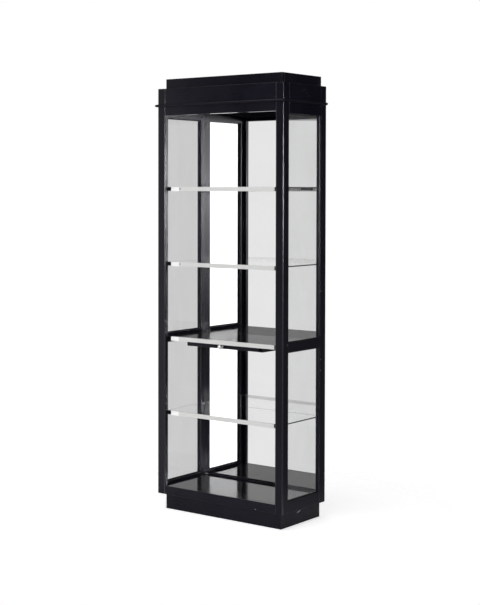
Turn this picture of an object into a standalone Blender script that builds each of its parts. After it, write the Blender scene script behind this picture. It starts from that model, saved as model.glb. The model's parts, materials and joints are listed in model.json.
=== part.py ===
"""Tall glass-sided display showcase with an open front, a mirror back and a pull-out slide.

Units are metres, +Z is up and the open front faces -Y.  The origin is on the floor, under the
middle of the bounding box.  Every board, pane, shelf, pin and moving piece is its own object.
"""
import math

import bmesh
import bpy

# ---------------------------------------------------------------------------- driving dimensions
TOTAL_H = 2.100          # floor to crown top
BODY_W = 0.750           # over the side faces, without the bead
BODY_D = 0.348           # front face to back face, without the bead
BEAD_OUT = 0.010         # how far the half-round bead stands out
BEAD_H = 0.013           # height of the bead's flat back
BEAD_Z = 1.970           # height of the bead's middle
BEAD_SHARP_ANGLE = math.radians(50)
GAP = 0.0003             # fitting gap between touching pieces

BODY_BOTTOM = 0.077      # underside of the frame, on the plinth
BODY_TOP = 2.052         # top of the frame, under the crown
PLINTH_INSET = 0.030     # plinth face behind the frame's front and sides
CROWN_INSET = 0.029      # crown face behind the frame's front and sides
PLINTH_BOARD = 0.018
CROWN_BOARD = 0.018
CROWN_TOP_BOARD = 0.016

FRONT_POST_W = 0.046     # front post's face, along X
FRONT_POST_FLANGE = 0.022    # depth of that face part, along Y
FRONT_POST_D = 0.045     # depth of the narrower rear part
SIDE_T = 0.028           # thickness of rear posts and side rails, along X
REAR_POST_D = 0.043
REAR_JOINT_IN = 0.028    # from the back face to the glued joint in the rear post's side
REAR_JOINT_W = 0.0016
REAR_JOINT_DEEP = 0.0012
FRONT_RAIL_TOP = 0.119
HEAD_FRONT_BOTTOM = 1.922
SIDE_BOTTOM_RAIL_TOP = 0.1315
HEAD_SIDE_BOTTOM = 1.912
MID_RAIL_BOTTOM = 0.818
MID_RAIL_TOP = 0.8625
MID_LEDGE = 0.010        # ledge inside the mid rail that carries the middle shelf

FLOOR_TOP = FRONT_RAIL_TOP    # the floor runs flush into the front rail
PANEL_T = 0.016          # floor, ceiling and deck boards
CEILING_BOTTOM = 1.9445
BACK_RAIL_D = 0.0235
BACK_RAIL_TOP = 0.127
HEAD_BACK_T = 0.022

MIRROR_T = 0.004
BACK_PANEL_T = 0.0032
RECESS_IN = 0.0167       # from the side face to the recess that takes mirror and back panel
RECESS_BOTTOM = 0.105

GLASS_T = 0.005          # side panes
GLASS_IN = 0.010         # from the side face to the pane's outer face
GROOVE_DEPTH = 0.006

SHELF_GLASS_T = 0.006
MID_SHELF_TOP = 0.849
MID_SHELF_T = 0.020
SHELF_PITCH = 0.3637
SHELF_SIDE_CLEAR = 0.0015
SHELF_BACK_CLEAR = 0.001
STRIP_H = 0.020          # white edge strip on every shelf
STRIP_T = 0.003
STRIP_HALF_W = 0.308
STRIP_SET_BACK = FRONT_POST_FLANGE + 0.0005
STRIP_LEDGE = 0.012      # lip of the strip under the glass
STRIP_LEDGE_T = 0.0015
STRIP_CAP_W = 0.048      # end cap at the strip's left end
STRIP_CAP_PROUD = 0.0006

PIN_SHANK_R = 0.0025
PIN_HEAD_R = 0.004
PIN_SHANK = 0.008
PIN_HEAD = 0.010
PIN_HOLE_CLEAR = 0.0003
PIN_IN = 0.030           # from the back face to the pins
PIN_SEGMENTS = 16
BRACKET_D = 0.018        # black block under each glass shelf's front corners
BRACKET_H = 0.019
BRACKET_CLEAR = 0.0004   # beside the white strip

SLIDE_HALF_W = 0.2125
SLIDE_X = -0.0125         # the slide sits a little left of the middle
SLIDE_SET_BACK = 0.045
SLIDE_T = 0.020
SLIDE_DROP = 0.0015      # running gap under the middle shelf
SLIDE_END_IN = 0.034     # from the back face to the slide's rear edge
RUNNER_T = 0.012
RUNNER_LIP = 0.012
RUNNER_LIP_T = 0.003
RUNNER_SET_BACK = 0.065
RUN_CLEAR = 0.0006       # running clearance of the slide in its runners

KNOB_R = 0.0105
KNOB_NECK_R = 0.0038
KNOB_FOOT_R = 0.0070
KNOB_FOOT_T = 0.0020
KNOB_OUT = 0.027
KNOB_SEGMENTS = 32

# ---------------------------------------------------------------------------- derived places
HALF_W = BODY_W / 2
BACK_Y = (BODY_D + BEAD_OUT + GAP) / 2
FRONT_Y = BACK_Y - BODY_D
PANEL_HALF_W = HALF_W - SIDE_T - GAP
RECESS_TOP = CEILING_BOTTOM + PANEL_T
MIRROR_FACE_Y = BACK_Y - BACK_PANEL_T - GAP - MIRROR_T
SHELF_FRONT_Y = FRONT_Y + STRIP_SET_BACK + STRIP_T + GAP
MID_SHELF_BOTTOM = MID_SHELF_TOP - MID_SHELF_T
SLIDE_TOP = MID_SHELF_BOTTOM - SLIDE_DROP
SLIDE_FRONT_Y = FRONT_Y + SLIDE_SET_BACK
GLASS_SHELF_TOPS = {
    "low": MID_SHELF_TOP - SHELF_PITCH,
    "high": MID_SHELF_TOP + SHELF_PITCH,
    "top": MID_SHELF_TOP + 2 * SHELF_PITCH,
}
SIDES = {"left": -1, "right": 1}
PANES = {
    "lower": (SIDE_BOTTOM_RAIL_TOP, MID_RAIL_BOTTOM),
    "upper": (MID_RAIL_TOP, HEAD_SIDE_BOTTOM),
}

# ---------------------------------------------------------------------------- materials
BLACK_PAINT = ("black_paint", (0.012, 0.012, 0.016), 0.35, 0.0)
BLACK_GLOSS = ("black_gloss", (0.008, 0.008, 0.010), 0.12, 0.0)
CLEAR_GLASS = ("clear_glass", (0.75, 0.80, 0.78), 0.02, 0.0)
SILVER_MIRROR = ("silver_mirror", (0.92, 0.93, 0.93), 0.02, 1.0)
WHITE_STRIP = ("white_strip", (0.80, 0.79, 0.74), 0.30, 0.0)
NICKEL = ("nickel", (0.72, 0.70, 0.66), 0.22, 1.0)
HARDBOARD = ("hardboard", (0.030, 0.027, 0.026), 0.65, 0.0)


def clear_scene():
    for item in list(bpy.data.objects):
        bpy.data.objects.remove(item, do_unlink=True)


def new_collection(name):
    collection = bpy.data.collections.new(name)
    bpy.context.scene.collection.children.link(collection)
    return collection


clear_scene()
PARTS = new_collection("display_showcase")
CUTTERS = new_collection("cutters")


def paint(item, finish):
    """Give an object its own Principled material."""
    name, colour, roughness, metallic = finish
    material = bpy.data.materials.new(f"{item.name}_{name}")
    material.use_nodes = True
    shader = material.node_tree.nodes["Principled BSDF"]
    shader.inputs["Base Color"].default_value = (*colour, 1.0)
    shader.inputs["Roughness"].default_value = roughness
    shader.inputs["Metallic"].default_value = metallic
    if name == "clear_glass":
        shader.inputs["Transmission Weight"].default_value = 1.0
    item.data.materials.append(material)


def add_mesh(name, mesh_builder, collection):
    """Fill a new mesh with mesh_builder(bm) and link its object."""
    mesh = bpy.data.meshes.new(name)
    bm = bmesh.new()
    mesh_builder(bm)
    bmesh.ops.recalc_face_normals(bm, faces=bm.faces)
    bm.to_mesh(mesh)
    bm.free()
    item = bpy.data.objects.new(name, mesh)
    collection.objects.link(item)
    return item


def box(name, x, y, z, finish=None):
    """A block between the given low and high places, with its origin at its centre."""
    low = [min(span) for span in (x, y, z)]
    high = [max(span) for span in (x, y, z)]

    def build(bm):
        bmesh.ops.create_cube(bm, size=1.0)
        bmesh.ops.scale(bm, vec=[b - a for a, b in zip(low, high)], verts=bm.verts)

    item = add_mesh(name, build, PARTS if finish else CUTTERS)
    item.location = [(a + b) / 2 for a, b in zip(low, high)]
    if finish:
        paint(item, finish)
    else:
        hide(item)
    return item


def hide(cutter):
    cutter.hide_render = True
    cutter.display_type = "WIRE"


def boolean(item, tool, operation):
    modifier = item.modifiers.new(f"{operation.lower()}_{tool.name}", "BOOLEAN")
    modifier.operation = operation
    modifier.solver = "EXACT"
    modifier.object = tool


def cut(item, *tools):
    for tool in tools:
        boolean(item, tool, "DIFFERENCE")


def prism_x(name, outline, x, finish):
    """A (y, z) outline pushed along X between the two given places."""
    length = max(x) - min(x)

    def build(bm):
        face = bm.faces.new([bm.verts.new((min(x), y, z)) for y, z in outline])
        pushed = bmesh.ops.extrude_face_region(bm, geom=[face])["geom"]
        moved = [v for v in pushed if isinstance(v, bmesh.types.BMVert)]
        bmesh.ops.translate(bm, vec=(length, 0, 0), verts=moved)

    item = add_mesh(name, build, PARTS)
    paint(item, finish)
    return item


def from_side(side, *places):
    """Places measured inward from a side face, as world X."""
    return [side * (HALF_W - place) for place in places]


# ---------------------------------------------------------------------------- shared cutters
def glass_grooves():
    """One cutter for each side pane; it cuts the groove into every member around the pane."""
    grooves = {}
    for side_name, side in SIDES.items():
        for level, (bottom, top) in PANES.items():
            grooves[side_name, level] = box(
                f"groove_{side_name}_{level}",
                from_side(side, GLASS_IN - GAP, GLASS_IN + GLASS_T + GAP),
                (FRONT_Y + FRONT_POST_D - GROOVE_DEPTH, BACK_Y - REAR_POST_D + GROOVE_DEPTH),
                (bottom - GROOVE_DEPTH, top + GROOVE_DEPTH),
            )
    return grooves


def mirror_recess():
    """Cutter for the recess that takes the mirror and the back panel from behind."""
    reach = HALF_W - RECESS_IN
    return box(
        "mirror_recess",
        (-reach, reach),
        (MIRROR_FACE_Y - GAP, BACK_Y + 0.010),
        (RECESS_BOTTOM, RECESS_TOP),
    )


def pin_places():
    """Name, side and (y, z) of every shelf pin."""
    for level, shelf_top in GLASS_SHELF_TOPS.items():
        z = shelf_top - SHELF_GLASS_T - GAP - PIN_HEAD_R
        for side_name, side in SIDES.items():
            yield f"{level}_{side_name}", side, BACK_Y - PIN_IN, z


def pin_hole(name, side, y, z):
    """Cutter for one shelf pin's hole in a rear post."""
    depth = PIN_SHANK + 2 * PIN_HOLE_CLEAR

    def build(bm):
        bmesh.ops.create_cone(
            bm,
            cap_ends=True,
            segments=PIN_SEGMENTS,
            radius1=PIN_SHANK_R + PIN_HOLE_CLEAR,
            radius2=PIN_SHANK_R + PIN_HOLE_CLEAR,
            depth=2 * depth,
        )

    cutter = add_mesh(f"hole_{name}", build, CUTTERS)
    cutter.rotation_euler = (0, math.pi / 2, 0)
    cutter.location = (side * (HALF_W - SIDE_T), y, z)
    hide(cutter)
    return cutter


# ---------------------------------------------------------------------------- base and frame
def plinth():
    left = -HALF_W + PLINTH_INSET
    right = HALF_W - PLINTH_INSET
    front = FRONT_Y + PLINTH_INSET
    z = (0, BODY_BOTTOM - GAP)
    inner = (front + PLINTH_BOARD + GAP, BACK_Y - PLINTH_BOARD - GAP)
    box("plinth_front", (left, right), (front, front + PLINTH_BOARD), z, BLACK_PAINT)
    box("plinth_back", (left, right), (BACK_Y - PLINTH_BOARD, BACK_Y), z, BLACK_PAINT)
    box("plinth_left", (left, left + PLINTH_BOARD), inner, z, BLACK_PAINT)
    box("plinth_right", (right - PLINTH_BOARD, right), inner, z, BLACK_PAINT)


def crown():
    left = -HALF_W + CROWN_INSET
    right = HALF_W - CROWN_INSET
    front = FRONT_Y + CROWN_INSET
    z = (BODY_TOP + GAP, TOTAL_H)
    inner = (front + CROWN_BOARD + GAP, BACK_Y - CROWN_BOARD - GAP)
    box("crown_front", (left, right), (front, front + CROWN_BOARD), z, BLACK_PAINT)
    box("crown_back", (left, right), (BACK_Y - CROWN_BOARD, BACK_Y), z, BLACK_PAINT)
    box("crown_left", (left, left + CROWN_BOARD), inner, z, BLACK_PAINT)
    box("crown_right", (right - CROWN_BOARD, right), inner, z, BLACK_PAINT)
    inside = right - CROWN_BOARD - GAP
    box("crown_top", (-inside, inside), inner, (TOTAL_H - CROWN_TOP_BOARD, TOTAL_H), BLACK_PAINT)


def posts(grooves, recess, holes):
    z = (BODY_BOTTOM, BODY_TOP)
    for name, side in SIDES.items():
        front = box(
            f"post_front_{name}",
            from_side(side, 0, FRONT_POST_W),
            (FRONT_Y, FRONT_Y + FRONT_POST_D),
            z,
            BLACK_PAINT,
        )
        rear_notch = box(
            f"notch_{name}",
            from_side(side, SIDE_T, FRONT_POST_W + SIDE_T),
            (FRONT_Y + FRONT_POST_FLANGE, FRONT_Y + 2 * FRONT_POST_D),
            (0, TOTAL_H),
        )
        rear = box(
            f"post_rear_{name}",
            from_side(side, 0, SIDE_T),
            (BACK_Y - REAR_POST_D, BACK_Y),
            z,
            BLACK_PAINT,
        )
        joint_y = BACK_Y - REAR_JOINT_IN
        joint = box(
            f"joint_{name}",
            from_side(side, REAR_JOINT_DEEP, -REAR_JOINT_DEEP),
            (joint_y - REAR_JOINT_W / 2, joint_y + REAR_JOINT_W / 2),
            (0, TOTAL_H),
        )
        cut(front, rear_notch, grooves[name, "lower"], grooves[name, "upper"])
        cut(rear, recess, joint, grooves[name, "lower"], grooves[name, "upper"])
        for pin_name, hole in holes.items():
            if pin_name.endswith(name):
                cut(rear, hole)


def bottom_rails(grooves, recess):
    between_posts = (FRONT_Y + FRONT_POST_D + GAP, BACK_Y - REAR_POST_D - GAP)
    reach = HALF_W - FRONT_POST_W - GAP
    box(
        "bottom_rail_front",
        (-reach, reach),
        (FRONT_Y, FRONT_Y + FRONT_POST_FLANGE),
        (BODY_BOTTOM, FRONT_RAIL_TOP),
        BLACK_PAINT,
    )
    for name, side in SIDES.items():
        rail = box(
            f"bottom_rail_{name}",
            from_side(side, 0, SIDE_T),
            between_posts,
            (BODY_BOTTOM, SIDE_BOTTOM_RAIL_TOP),
            BLACK_PAINT,
        )
        cut(rail, grooves[name, "lower"])
    rail = box(
        "bottom_rail_back",
        (-PANEL_HALF_W, PANEL_HALF_W),
        (BACK_Y - BACK_RAIL_D, BACK_Y),
        (BODY_BOTTOM, BACK_RAIL_TOP),
        BLACK_PAINT,
    )
    cut(rail, recess)


def mid_rails(grooves):
    """Side rails at half height; a ledge inside each one carries the middle shelf."""
    between_posts = (FRONT_Y + FRONT_POST_D + GAP, BACK_Y - REAR_POST_D - GAP)
    for name, side in SIDES.items():
        rail = box(
            f"mid_rail_{name}",
            from_side(side, 0, SIDE_T + MID_LEDGE),
            between_posts,
            (MID_RAIL_BOTTOM, MID_RAIL_TOP),
            BLACK_PAINT,
        )
        above_ledge = box(
            f"above_ledge_{name}",
            from_side(side, SIDE_T, 2 * SIDE_T),
            (2 * FRONT_Y, 2 * BACK_Y),
            (MID_SHELF_BOTTOM - GAP, MID_RAIL_TOP + MID_LEDGE),
        )
        cut(rail, above_ledge, grooves[name, "lower"], grooves[name, "upper"])


def head_rails(grooves):
    """Top boards between the posts: glazing rail and frieze in one piece."""
    reach = HALF_W - FRONT_POST_W - GAP
    box(
        "head_rail_front",
        (-reach, reach),
        (FRONT_Y, FRONT_Y + FRONT_POST_FLANGE),
        (HEAD_FRONT_BOTTOM, BODY_TOP),
        BLACK_PAINT,
    )
    box(
        "head_rail_back",
        (-PANEL_HALF_W, PANEL_HALF_W),
        (BACK_Y - HEAD_BACK_T, BACK_Y),
        (RECESS_TOP + GAP, BODY_TOP),
        BLACK_PAINT,
    )
    for name, side in SIDES.items():
        rail = box(
            f"head_rail_{name}",
            from_side(side, 0, SIDE_T),
            (FRONT_Y + FRONT_POST_D + GAP, BACK_Y - REAR_POST_D - GAP),
            (HEAD_SIDE_BOTTOM, BODY_TOP),
            BLACK_PAINT,
        )
        cut(rail, grooves[name, "upper"])


def panels():
    """Base board, floor, ceiling and top deck, all lying between the side rails."""
    x = (-PANEL_HALF_W, PANEL_HALF_W)
    front = FRONT_Y + FRONT_POST_FLANGE + GAP
    behind_rail = BACK_Y - BACK_RAIL_D - GAP
    floor_bottom = FLOOR_TOP - PANEL_T
    box("base_board", x, (front, behind_rail), (BODY_BOTTOM, floor_bottom - GAP), BLACK_PAINT)
    box("floor_panel", x, (front, behind_rail), (floor_bottom, FLOOR_TOP), BLACK_GLOSS)
    box(
        "ceiling_panel",
        x,
        (front, MIRROR_FACE_Y - GAP),
        (CEILING_BOTTOM, CEILING_BOTTOM + PANEL_T),
        BLACK_GLOSS,
    )
    box(
        "top_deck",
        x,
        (front, BACK_Y - HEAD_BACK_T - GAP),
        (BODY_TOP - PANEL_T, BODY_TOP),
        BLACK_PAINT,
    )


# ---------------------------------------------------------------------------- bead moulding
def bead_profile(points=7):
    """Half-round outline: (how far out, height) from the bottom to the top."""
    for index in range(points):
        angle = math.pi * (index / (points - 1) - 0.5)
        yield BEAD_OUT * math.cos(angle), BEAD_Z + BEAD_H / 2 * math.sin(angle)


def mitred_bead(name, start, end):
    """Loft the bead's outline between two ends; start and end map (out, z) to a place."""

    def build(bm):
        outline = list(bead_profile())
        first = [bm.verts.new(start(out, z)) for out, z in outline]
        last = [bm.verts.new(end(out, z)) for out, z in outline]
        edges = [
            bm.edges.new((ring[i], ring[(i + 1) % len(ring)]))
            for ring in (first, last)
            for i in range(len(ring))
        ]
        bmesh.ops.bridge_loops(bm, edges=edges)
        bm.faces.new(first)
        bm.faces.new(last)

    item = add_mesh(name, build, PARTS)
    item.data.shade_smooth()
    item.data.set_sharp_from_angle(angle=BEAD_SHARP_ANGLE)
    paint(item, BLACK_PAINT)


def beads():
    """Front bead mitred to the two side beads, which end flush with the back."""
    y = FRONT_Y - GAP
    mitred_bead(
        "bead_front",
        lambda out, z: (-(HALF_W + out), y - out, z),
        lambda out, z: (HALF_W + out, y - out, z),
    )
    for name, side in SIDES.items():
        x = HALF_W + GAP
        mitred_bead(
            f"bead_{name}",
            lambda out, z, side=side: (side * (x + out), FRONT_Y - out, z),
            lambda out, z, side=side: (side * (x + out), BACK_Y, z),
        )


# ---------------------------------------------------------------------------- glass and mirror
def side_panes():
    for side_name, side in SIDES.items():
        for level, (bottom, top) in PANES.items():
            depth = GROOVE_DEPTH - GAP
            box(
                f"side_glass_{level}_{side_name}",
                from_side(side, GLASS_IN, GLASS_IN + GLASS_T),
                (FRONT_Y + FRONT_POST_D - depth, BACK_Y - REAR_POST_D + depth),
                (bottom - depth, top + depth),
                CLEAR_GLASS,
            )


def back():
    reach = HALF_W - RECESS_IN - GAP
    x = (-reach, reach)
    z = (RECESS_BOTTOM + GAP, RECESS_TOP - GAP)
    box("mirror", x, (MIRROR_FACE_Y, MIRROR_FACE_Y + MIRROR_T), z, SILVER_MIRROR)
    box("back_panel", x, (BACK_Y - BACK_PANEL_T, BACK_Y), z, HARDBOARD)


# ---------------------------------------------------------------------------- shelves
def turned(name, profile, segments, finish):
    """A (radius, height) profile turned about Z; it runs down its outer side."""
    mesh = bpy.data.meshes.new(name)
    points = [(radius, 0, height) for radius, height in profile]
    mesh.from_pydata(points, [(i, i + 1) for i in range(len(points) - 1)], [])
    item = bpy.data.objects.new(name, mesh)
    PARTS.objects.link(item)
    screw = item.modifiers.new("turn", "SCREW")
    screw.steps = segments
    screw.render_steps = segments
    screw.use_merge_vertices = True
    screw.merge_threshold = 0.00001
    paint(item, finish)
    return item


def shelf_pins():
    """Turned pins: a shank in the rear post and a thicker head under the glass."""
    profile = [
        (0, PIN_HEAD),
        (PIN_HEAD_R, PIN_HEAD),
        (PIN_HEAD_R, GAP),
        (PIN_SHANK_R, GAP),
        (PIN_SHANK_R, -PIN_SHANK),
        (0, -PIN_SHANK),
    ]
    for name, side, y, z in pin_places():
        pin = turned(f"shelf_pin_{name}", profile, PIN_SEGMENTS, NICKEL)
        pin.rotation_euler = (0, -side * math.pi / 2, 0)
        pin.location = (side * (HALF_W - SIDE_T), y, z)


def shelf_brackets():
    """Block on each front post; it carries a glass shelf's corner and stands before its edge."""
    front = FRONT_Y + STRIP_SET_BACK
    for level, top in GLASS_SHELF_TOPS.items():
        for name, side in SIDES.items():
            inner = side * (STRIP_HALF_W + STRIP_CAP_PROUD + BRACKET_CLEAR)
            bracket = box(
                f"shelf_bracket_{level}_{name}",
                (inner, side * (HALF_W - SIDE_T - GAP)),
                (front, front + BRACKET_D),
                (top - BRACKET_H, top - GAP),
                BLACK_PAINT,
            )
            seat = box(
                f"seat_{level}_{name}",
                (0, side * HALF_W),
                (SHELF_FRONT_Y - GAP, BACK_Y),
                (top - SHELF_GLASS_T - GAP, TOTAL_H),
            )
            cut(bracket, seat)


def edge_strip(name, shelf_top, ledge_bottom=None):
    """White strip on a shelf's front edge, with an end cap; a lip runs under a glass shelf."""
    front = FRONT_Y + STRIP_SET_BACK
    back_face = front + STRIP_T
    bottom = shelf_top - STRIP_H
    outline = [(front, bottom), (back_face, bottom)]
    if ledge_bottom is not None:
        ledge_top = ledge_bottom + STRIP_LEDGE_T
        outline += [
            (back_face, ledge_bottom),
            (back_face + STRIP_LEDGE, ledge_bottom),
            (back_face + STRIP_LEDGE, ledge_top),
            (back_face, ledge_top),
        ]
    outline += [(back_face, shelf_top), (front, shelf_top)]
    strip = prism_x(name, outline, (-STRIP_HALF_W, STRIP_HALF_W), WHITE_STRIP)
    cap = box(
        f"cap_of_{name}",
        (-STRIP_HALF_W - STRIP_CAP_PROUD, -STRIP_HALF_W + STRIP_CAP_W),
        (front - STRIP_CAP_PROUD, back_face - STRIP_CAP_PROUD),
        (bottom - STRIP_CAP_PROUD, shelf_top - STRIP_CAP_PROUD),
    )
    boolean(strip, cap, "UNION")


def shelves():
    glass_x = HALF_W - SIDE_T - SHELF_SIDE_CLEAR
    y = (SHELF_FRONT_Y, MIRROR_FACE_Y - SHELF_BACK_CLEAR)
    for level, top in GLASS_SHELF_TOPS.items():
        underside = top - SHELF_GLASS_T
        box(f"shelf_glass_{level}", (-glass_x, glass_x), y, (underside, top), CLEAR_GLASS)
        edge_strip(f"edge_strip_{level}", top, underside - GAP - STRIP_LEDGE_T)
    box(
        "shelf_middle",
        (-PANEL_HALF_W, PANEL_HALF_W),
        y,
        (MID_SHELF_BOTTOM, MID_SHELF_TOP),
        BLACK_GLOSS,
    )
    edge_strip("edge_strip_middle", MID_SHELF_TOP)


# ---------------------------------------------------------------------------- pull-out slide
def slide_runners():
    """Angle runners under the middle shelf: a web beside the slide and a lip under it."""
    lip_top = SLIDE_TOP - SLIDE_T - RUN_CLEAR
    y = (FRONT_Y + RUNNER_SET_BACK, BACK_Y - SLIDE_END_IN)
    for name, side in SIDES.items():
        web_x = SLIDE_HALF_W + RUN_CLEAR
        runner = box(
            f"slide_runner_{name}",
            (SLIDE_X + side * (SLIDE_HALF_W - RUNNER_LIP), SLIDE_X + side * (web_x + RUNNER_T)),
            y,
            (lip_top - RUNNER_LIP_T, MID_SHELF_BOTTOM - GAP),
            BLACK_PAINT,
        )
        channel = box(
            f"channel_{name}",
            (SLIDE_X, SLIDE_X + side * web_x),
            (2 * FRONT_Y, 2 * BACK_Y),
            (lip_top, MID_SHELF_TOP),
        )
        cut(runner, channel)


def pull_slide():
    """The moving shelf and its knob; both hang from one empty on the slide's axis."""
    middle = SLIDE_TOP - SLIDE_T / 2
    axis = bpy.data.objects.new("slide_axis", None)
    axis.location = (SLIDE_X, SLIDE_FRONT_Y, middle)
    PARTS.objects.link(axis)
    board = box(
        "pull_slide",
        (SLIDE_X - SLIDE_HALF_W, SLIDE_X + SLIDE_HALF_W),
        (SLIDE_FRONT_Y, BACK_Y - SLIDE_END_IN),
        (SLIDE_TOP - SLIDE_T, SLIDE_TOP),
        BLACK_PAINT,
    )
    board.parent = axis
    board.location = board.location - axis.location
    knob = turned("slide_knob", knob_profile(), KNOB_SEGMENTS, NICKEL)
    knob.parent = axis
    knob.location = (0, -GAP, 0)
    knob.rotation_euler = (math.pi / 2, 0, 0)


def knob_profile(steps=12):
    """Ball, neck and foot, from the tip down to the slide's face."""
    centre = KNOB_OUT - KNOB_R
    neck_angle = math.pi - math.asin(KNOB_NECK_R / KNOB_R)
    for index in range(steps + 1):
        angle = neck_angle * index / steps
        yield KNOB_R * math.sin(angle), centre + KNOB_R * math.cos(angle)
    yield KNOB_NECK_R, KNOB_FOOT_T
    yield KNOB_FOOT_R, KNOB_FOOT_T
    yield KNOB_FOOT_R, 0
    yield 0, 0


# ---------------------------------------------------------------------------- assembly
def build():
    grooves = glass_grooves()
    recess = mirror_recess()
    holes = {name: pin_hole(name, side, y, z) for name, side, y, z in pin_places()}
    plinth()
    bottom_rails(grooves, recess)
    posts(grooves, recess, holes)
    mid_rails(grooves)
    head_rails(grooves)
    panels()
    beads()
    crown()
    side_panes()
    back()
    shelves()
    shelf_pins()
    shelf_brackets()
    slide_runners()
    pull_slide()


build()
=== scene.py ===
"""Looks of the glass display showcase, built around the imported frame.

Boards, strips and shelves are bevelled copies of their CAD nodes.  The bead and the knob are made
again with smooth curves.  Putty, nail heads, plugs, clips and scuffs are added.  All lengths are metres.
"""
import json
import math

import bmesh
import bpy
from mathutils import Euler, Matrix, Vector


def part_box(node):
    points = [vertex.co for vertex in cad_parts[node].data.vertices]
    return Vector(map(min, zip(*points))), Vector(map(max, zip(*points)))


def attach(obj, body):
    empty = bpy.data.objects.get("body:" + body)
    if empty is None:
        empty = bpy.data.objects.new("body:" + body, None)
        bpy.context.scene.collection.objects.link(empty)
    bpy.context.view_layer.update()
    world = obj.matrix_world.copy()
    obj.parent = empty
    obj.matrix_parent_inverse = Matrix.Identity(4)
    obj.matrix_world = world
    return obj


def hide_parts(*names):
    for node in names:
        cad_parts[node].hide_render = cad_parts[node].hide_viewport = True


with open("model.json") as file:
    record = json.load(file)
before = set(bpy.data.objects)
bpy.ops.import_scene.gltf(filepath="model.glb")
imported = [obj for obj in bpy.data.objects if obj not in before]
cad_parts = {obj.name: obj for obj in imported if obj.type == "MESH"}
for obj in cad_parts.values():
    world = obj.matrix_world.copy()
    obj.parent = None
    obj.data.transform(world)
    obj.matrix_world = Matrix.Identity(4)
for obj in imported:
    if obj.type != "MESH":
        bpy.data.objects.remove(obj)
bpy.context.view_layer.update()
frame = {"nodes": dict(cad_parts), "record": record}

# ---------------------------------------------------------------------------- names from the record
RECORD = frame["record"]
SLOT_OF = {part["node"]: part["material_slot"] for part in RECORD["subparts"]}
BODY_OF = {node: body for body, nodes in RECORD["behaviour"]["bodies"].items() for node in nodes}

# ---------------------------------------------------------------------------- edges and faces
POST_BEVEL = 0.0050
FINE_SHARE = 0.1            # rebates and grooves in a post get this share of POST_BEVEL
BOARD_BEVEL = 0.0012
THIN_BEVEL = 0.0005
GLASS_BEVEL = 0.0005
PIN_BEVEL = 0.0006
BEVEL_SEGMENTS = 3
SHARP_ANGLE = math.radians(30)
FLAT_ANGLE = math.radians(0.5)    # neighbouring faces that differ by less become one
MERGE = 0.00001
FACING = 0.9                # a face looks one way when its normal has this share that way

RAILS_WITH_POLISHED_TOPS = ("bottom_rail_front", "bottom_rail_right")
RAILS_WITH_DULL_TOPS = ("bottom_rail_left", "bottom_rail_back", "mid_rail_left", "mid_rail_right")

# ---------------------------------------------------------------------------- putty, clips and strips
PUTTY = 0.0040              # radius of the putty fillet around each side pane
PUTTY_STEPS = 6
GROOVE_DEPTH = 0.0057       # how far a side pane reaches into its frame
CLIP_WIDTH = 0.009          # the two clips under the top shelf's right edge
CLIP_HEIGHT = 0.0095
CLIP_RUN = 0.099            # from the front clip's front end to the rear clip's rear end
CLIP_FROM_FRONT = 0.156
CLIPS = (("front", 0.0, 0.45), ("rear", 0.5, 0.5))    # name, start and length as shares of CLIP_RUN
CLIP_TAPER = (0.8, 0.96, 1.0)     # a clip's lower face against its upper one
CLIP_BEVEL_SHARE = 0.2      # of its height
CAP_LENGTH = 0.052          # whiter cap at the left end of an edge strip
CAP_PROUD = 0.0006          # how far the plug's base is sunk behind the strip's face
PLUG_RADIUS = 0.0036        # the dark plug beside the cap
PLUG_HEIGHT = 0.0006
PLUG_ABOVE_MIDDLE = 0.001
PLUG_SEGMENTS = 20

# ---------------------------------------------------------------------------- nails and marks
DOME_STEPS = 6
DOME_SHARE = 0.3            # a nail head's height as a share of its radius
HEAD_SUNK = 0.0004          # how far a head's rim reaches below the surface
HEAD_SEGMENTS = 12
TACK_RADIUS = 0.0022
TACK_IN = 0.008             # from the back panel's edge to its tacks
TACK_PITCH = 0.15
POST_NAIL_RADIUS = 0.0017
NAILS_IN_POSTS = (          # node without its side, share of its depth, height
    ("post_front", 0.80, 0.853),
    ("post_rear", 0.10, 1.085),
    ("post_rear", 0.12, 0.760),
    ("post_rear", 0.10, 0.709),
)
RAIL_NAIL_RADIUS = 0.0014
RAIL_NAIL_SHARE = 0.67      # how far out along the front rail's right half
RAIL_NAIL_UP = 0.005        # from the rail's lower edge
SCUFF_POINTS = 16
SCUFF_PROUD = 0.00015
SCRAPE_Y = 0.004            # the scrape on the plinth's right side
SCRAPE_HEIGHT_SHARE = 0.74
SCRAPE_SIZE = (0.036, 0.0045)
SCRAPE_DEGREES = 17
CHIP_AND_GLINT_FROM_END = 0.020       # the bare-wood chip at the left end of the rear bottom rail; its light colour also paints the glint on the rail's top edge
CHIP_AND_GLINT_BELOW_TOP = 0.0028
CHIP_AND_GLINT_SIZE = (0.030, 0.0048)
FRIEZE_SCUFF_WIDTH = 0.0022
FRIEZE_SCUFFS = (           # y, z, length, angle in degrees
    (-0.020, 2.021, 0.018, 20),
    (0.002, 2.026, 0.012, -30),
    (0.022, 2.012, 0.016, 60),
    (0.034, 2.000, 0.010, -70),
)

# ---------------------------------------------------------------------------- camera and light
CAMERA_PLACE = Vector((3.8507, -5.0960, 1.5532))
CAMERA_YAW = math.radians(37.1745)
CAMERA_TILT = math.radians(1.6397)
CAMERA_ROLL = math.radians(0.1068)
CAMERA_LENS = 79.0546
SENSOR_WIDTH = 36.0
CAMERA_SHIFT = (0.00387, -0.12)

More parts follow.
